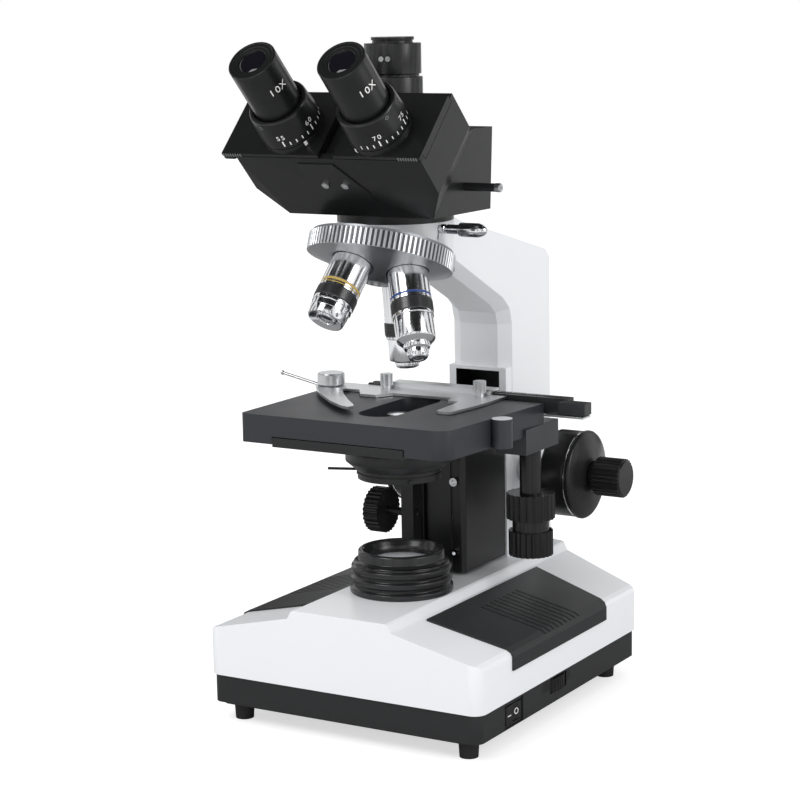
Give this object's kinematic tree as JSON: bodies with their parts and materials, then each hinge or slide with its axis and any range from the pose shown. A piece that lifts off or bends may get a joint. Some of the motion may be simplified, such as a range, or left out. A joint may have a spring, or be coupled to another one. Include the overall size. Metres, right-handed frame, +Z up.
{
  "type": "trinocular compound microscope",
  "caption": "White and black trinocular compound microscope with a revolving nosepiece, mechanical stage, condenser, coaxial focus knobs and a vertical photo tube.",
  "frame": {"origin": "on the optical axis at the underside of the bottom plate", "axes": "+X to the user's right, -Y towards the user, +Z up along the optical axis"},
  "size_m": [0.2023, 0.2649, 0.3984],
  "materials": {
    "white_paint": "semi-gloss light grey-white enamel",
    "base_dark": "satin charcoal enamel",
    "pad_black": "matt ribbed rubber",
    "rubber": "matt rubber",
    "black_plastic": "satin moulded plastic",
    "black_metal": "satin black enamel",
    "head_black": "fine satin black enamel",
    "stage_grey": "satin dark grey coating",
    "grey_metal": "machined, dull",
    "satin_alloy": "satin turned",
    "steel": "satin",
    "chrome": "polished",
    "glass": "clear polished"
  },
  "bodies": {
    "stand": {"bottom_plate": "base_dark", "feet": "rubber", "base_pan": "base_dark", "base_cover": "white_paint", "left_pad": "pad_black", "right_pad": "pad_black", "switch_frame": "black_plastic", "power_inlet": "black_plastic", "lamp_housing": "black_metal", "lamp_window": "glass", "arm": "white_paint", "dovetail_ring": "black_metal", "nosepiece_mount": "grey_metal"},
    "rocker": {"rocker_switch": "black_plastic"},
    "wheel": {"brightness_wheel": "black_plastic"},
    "carriage": {"focus_block": "black_metal", "block_screws": "chrome", "condenser_rail": "black_metal", "stage_base": "black_metal"},
    "coarse": {"coarse_shaft": "steel", "right_coarse_knob": "black_plastic", "left_coarse_knob": "black_plastic"},
    "fine": {"fine_shaft": "steel", "right_fine_knob": "black_plastic", "left_fine_knob": "black_plastic"},
    "stage": {"stage_plate": "stage_grey", "stage_post": "stage_grey", "slide_rail": "black_metal", "scale_strip": "steel"},
    "forward_drive": {"forward_knob": "black_plastic"},
    "sideways_drive": {"sideways_knob": "black_plastic"},
    "holder": {"slide_holder": "steel", "holder_screws": "steel"},
    "finger": {"clamp_finger": "steel", "clamp_knob": "steel"},
    "condenser": {"condenser_holder": "black_metal", "condenser_ring": "black_metal", "condenser_lens": "glass", "centring_screws": "chrome"},
    "condenser_drive": {"condenser_knob": "black_plastic"},
    "iris": {"iris_lever": "steel"},
    "nosepiece": {"turret": "satin_alloy", "ten_objective": "chrome", "forty_objective": "chrome", "hundred_objective": "chrome"},
    "clamp_screw": {"head_screw": "chrome"},
    "head": {"head_body": "head_black", "head_plate": "head_black", "plate_screws": "chrome", "photo_tube": "head_black", "tube_screws": "chrome"},
    "cap": {"photo_cap": "black_plastic"},
    "lever": {"beam_lever": "black_metal"},
    "left_tube": {"left_slide": "head_black"},
    "right_tube": {"right_slide": "head_black"},
    "left_focus": {"left_ring": "head_black"},
    "right_focus": {"right_ring": "head_black"},
    "left_ocular": {"left_eyepiece": "head_black"},
    "right_ocular": {"right_eyepiece": "head_black"}
  },
  "joints": [
    {"name": "switch_rock", "type": "hinge", "parent": "stand", "child": "rocker", "pos_m": [0.0875, -0.0285, 0.0098], "axis": [0, 0, 1], "range_deg": [-12, 0]},
    {"name": "brightness_turn", "type": "hinge", "parent": "stand", "child": "wheel", "pos_m": [0.07, 0.0266, 0.0125], "axis": [0, 0, 1], "range_deg": [-135, 135]},
    {"name": "focus_travel", "type": "slide", "parent": "stand", "child": "carriage", "axis": [0, 0, 1], "range_m": [0, 0.02]},
    {"name": "coarse_turn", "type": "hinge", "parent": "stand", "child": "coarse", "pos_m": [0, 0.116, 0.118], "axis": [1, 0, 0], "range_deg": [-10, 230]},
    {"name": "fine_turn", "type": "hinge", "parent": "coarse", "child": "fine", "pos_m": [0, 0.116, 0.118], "axis": [1, 0, 0], "continuous": true},
    {"name": "stage_forward", "type": "slide", "parent": "carriage", "child": "stage", "axis": [0, 1, 0], "range_m": [-0.022, 0.014]},
    {"name": "forward_turn", "type": "hinge", "parent": "stage", "child": "forward_drive", "pos_m": [0.0578, 0.055, 0.11], "axis": [0, 0, 1], "range_deg": [-140, 140]},
    {"name": "holder_sideways", "type": "slide", "parent": "stage", "child": "holder", "axis": [1, 0, 0], "range_m": [-0.02, 0.03]},
    {"name": "sideways_turn", "type": "hinge", "parent": "stage", "child": "sideways_drive", "pos_m": [0.0578, 0.055, 0.09], "axis": [0, 0, 1], "range_deg": [-190, 190]},
    {"name": "finger_swing", "type": "hinge", "parent": "holder", "child": "finger", "pos_m": [-0.0707, 0.0376, 0.1747], "axis": [0, 0, 1], "range_deg": [-25, 0], "stiffness_Nm_per_rad": 0.05},
    {"name": "condenser_travel", "type": "slide", "parent": "carriage", "child": "condenser", "axis": [0, 0, 1], "range_m": [-0.02, 0.002]},
    {"name": "condenser_turn", "type": "hinge", "parent": "carriage", "child": "condenser_drive", "pos_m": [0, 0.037, 0.102], "axis": [1, 0, 0], "range_deg": [-20, 130]},
    {"name": "iris_swing", "type": "hinge", "parent": "condenser", "child": "iris", "pos_m": [0, 0, 0.136], "axis": [0, 0, 1], "range_deg": [-30, 40]},
    {"name": "nosepiece_turn", "type": "hinge", "parent": "stand", "child": "nosepiece", "pos_m": [0, 0, 0.31], "axis": [0, 0.3584, 0.9336], "continuous": true},
    {"name": "head_clamp", "type": "slide", "parent": "stand", "child": "clamp_screw", "axis": [1, 0, 0], "range_m": [0, 0.003]},
    {"name": "head_turn", "type": "hinge", "parent": "stand", "child": "head", "pos_m": [0, 0, 0.2847], "axis": [0, 0, 1], "range_deg": [-180, 180]},
    {"name": "cap_lift", "type": "slide", "parent": "head", "child": "cap", "axis": [0, 0, 1], "range_m": [0, 0.03]},
    {"name": "beam_pull", "type": "slide", "parent": "head", "child": "lever", "axis": [1, 0, 0], "range_m": [-0.009, 0]},
    {"name": "left_spread", "type": "slide", "parent": "head", "child": "left_tube", "axis": [-1, 0, 0], "range_m": [-0.0009, 0.009]},
    {"name": "right_spread", "type": "slide", "parent": "head", "child": "right_tube", "axis": [1, 0, 0], "range_m": [-0.0009, 0.009]},
    {"name": "left_focus_turn", "type": "hinge", "parent": "left_tube", "child": "left_focus", "pos_m": [-0.0284, -0.06642, 0.34462], "axis": [0, -0.7071, 0.7071], "range_deg": [-150, 150]},
    {"name": "right_focus_turn", "type": "hinge", "parent": "right_tube", "child": "right_focus", "pos_m": [0.0284, -0.06642, 0.34462], "axis": [0, -0.7071, 0.7071], "range_deg": [-150, 150]},
    {"name": "left_eyepiece_lift", "type": "slide", "parent": "left_tube", "child": "left_ocular", "axis": [0, -0.7071, 0.7071], "range_m": [0, 0.02]},
    {"name": "right_eyepiece_lift", "type": "slide", "parent": "right_tube", "child": "right_ocular", "axis": [0, -0.7071, 0.7071], "range_m": [0, 0.02]}
  ],
  "couplings": [
    {"joint": "coarse_turn", "follows": "focus_travel", "rad_per_m": 170.17},
    {"joint": "forward_turn", "follows": "stage_forward", "rad_per_m": 103.13},
    {"joint": "sideways_turn", "follows": "holder_sideways", "rad_per_m": 104.72},
    {"joint": "condenser_turn", "follows": "condenser_travel", "rad_per_m": -104.72},
    {"joint": "left_spread", "follows": "right_spread", "ratio": 1}
  ]
}
